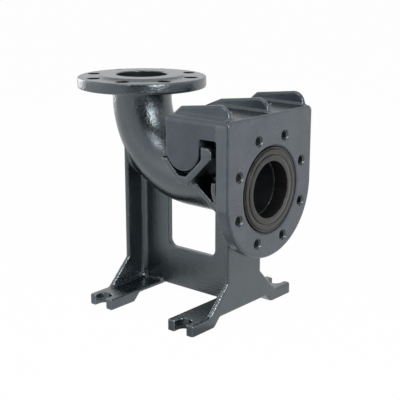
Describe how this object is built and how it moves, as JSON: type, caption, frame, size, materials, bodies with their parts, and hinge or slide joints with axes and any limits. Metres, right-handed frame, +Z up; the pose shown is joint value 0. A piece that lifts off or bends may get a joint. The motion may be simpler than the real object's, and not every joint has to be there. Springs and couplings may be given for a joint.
{
  "type": "discharge pedestal with hook-on claw for a submersible sewage pump",
  "caption": "Cast duck-foot discharge bend on an arched stand, with a ribbed hook-on claw plate and rubber seal that a submersible pump bolts to.",
  "frame": {"origin": "middle of the footprint box on the floor, on the symmetry plane; the discharge axis stands at x = -0.075", "axes": "+X from the discharge pipe towards the pump, +Z up, +Y to the left looking along +X"},
  "size_m": [0.35, 0.24, 0.345],
  "materials": {
    "pedestal_iron": "dark slate paint over sand-cast iron, semi-gloss",
    "claw_iron": "dark slate paint over cast iron, semi-gloss, plate face machined before painting",
    "seal_rubber": "dark brown-grey moulded rubber, matt"
  },
  "bodies": {
    "pedestal": {"discharge_flange": "pedestal_iron", "discharge_neck": "pedestal_iron", "discharge_elbow": "pedestal_iron", "inlet_pipe": "pedestal_iron", "inlet_flange": "pedestal_iron", "left_cradle": "pedestal_iron", "right_cradle": "pedestal_iron", "left_gusset": "pedestal_iron", "right_gusset": "pedestal_iron", "rear_stand_plate": "pedestal_iron", "front_stand_plate": "pedestal_iron", "centre_web": "pedestal_iron", "rear_left_foot": "pedestal_iron", "rear_right_foot": "pedestal_iron", "front_left_foot": "pedestal_iron", "front_right_foot": "pedestal_iron"},
    "claw": {"claw_plate": "claw_iron", "left_cheek": "claw_iron", "right_cheek": "claw_iron", "top_deck": "claw_iron", "rear_tongue": "claw_iron", "left_rib": "claw_iron", "middle_rib": "claw_iron", "right_rib": "claw_iron", "seal_ring": "seal_rubber"}
  },
  "joints": [
    {"name": "claw_lift", "type": "slide", "parent": "pedestal", "child": "claw", "axis": [0, 0, 1], "range_m": [0, 0.3]}
  ]
}
